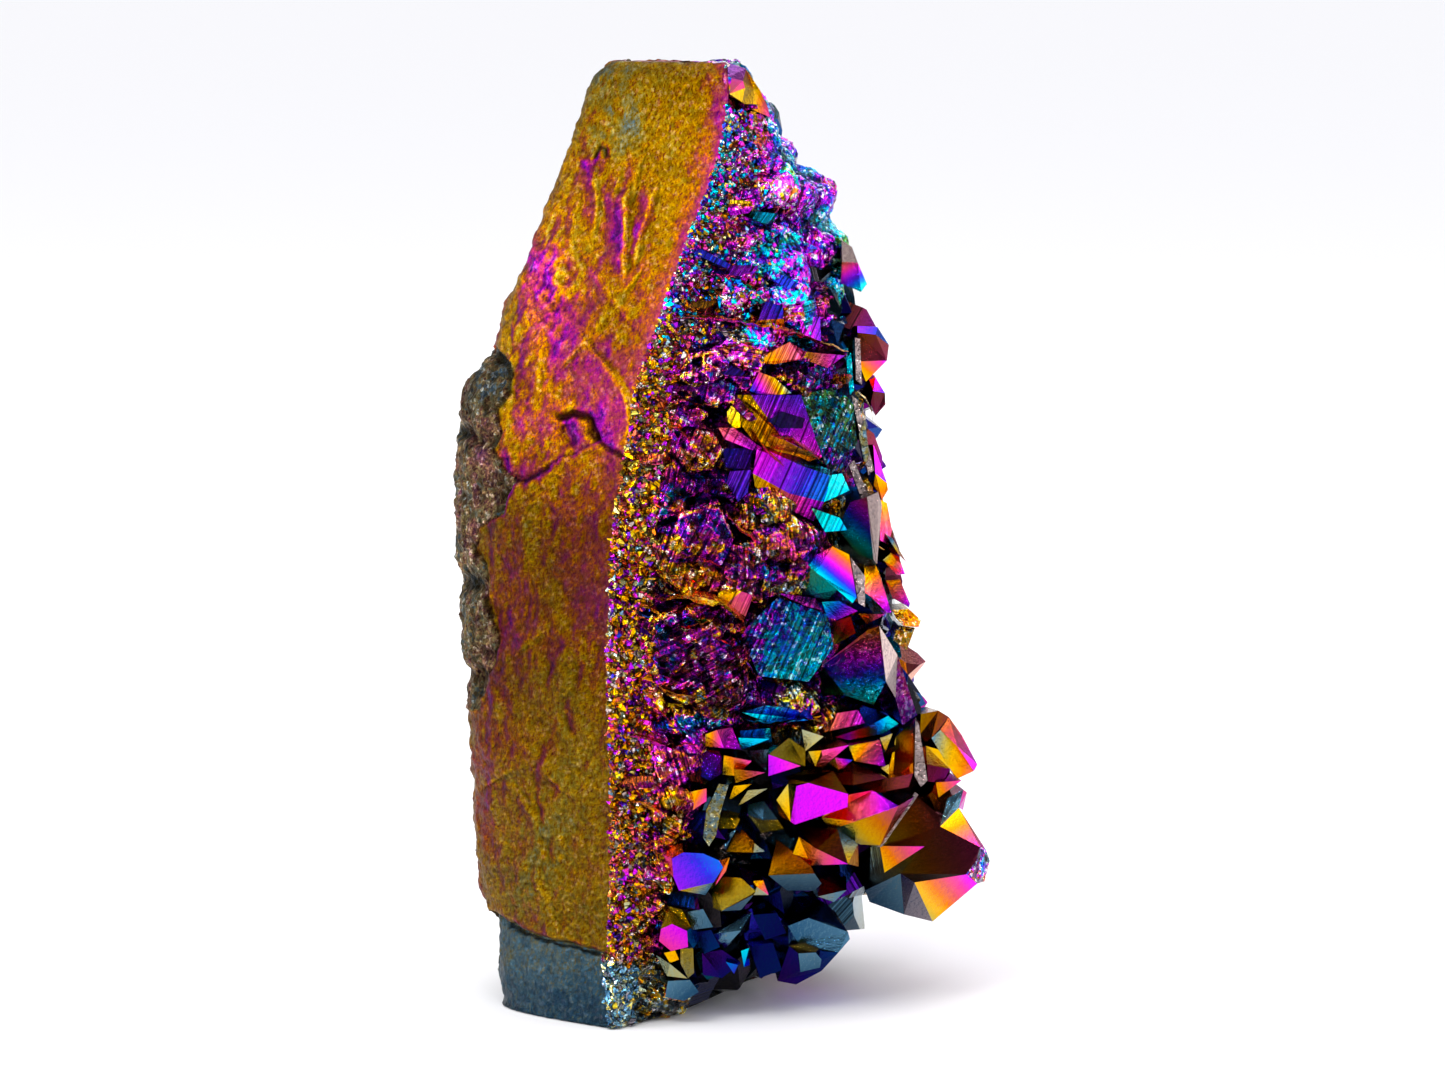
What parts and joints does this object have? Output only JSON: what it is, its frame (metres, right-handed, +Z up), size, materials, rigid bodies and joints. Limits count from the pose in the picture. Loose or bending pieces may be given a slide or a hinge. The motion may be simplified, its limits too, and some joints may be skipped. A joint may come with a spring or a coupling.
{
  "type": "aura quartz cluster",
  "caption": "Free-standing slab of geode wall: lumpy rind, smooth agate band, broken quartz and pointed crystals, metal-coated, on a sawn foot.",
  "frame": {"origin": "on the floor under the sawn foot, below the wall's agate ridge and towards the middle of the cluster", "axes": "+Z up, -Y towards the flat broken flank seen in front, -X the rind side, +X the crystal side"},
  "size_m": [0.1086, 0.0858, 0.1876],
  "materials": {
    "aura_coat": "opaque iridescent metal film on quartz: gold, magenta, violet, blue and teal; satin on the agate, mirror bright on the crystal faces"
  },
  "bodies": {
    "root": {"quartz_cluster": "aura_coat"}
  },
  "joints": []
}
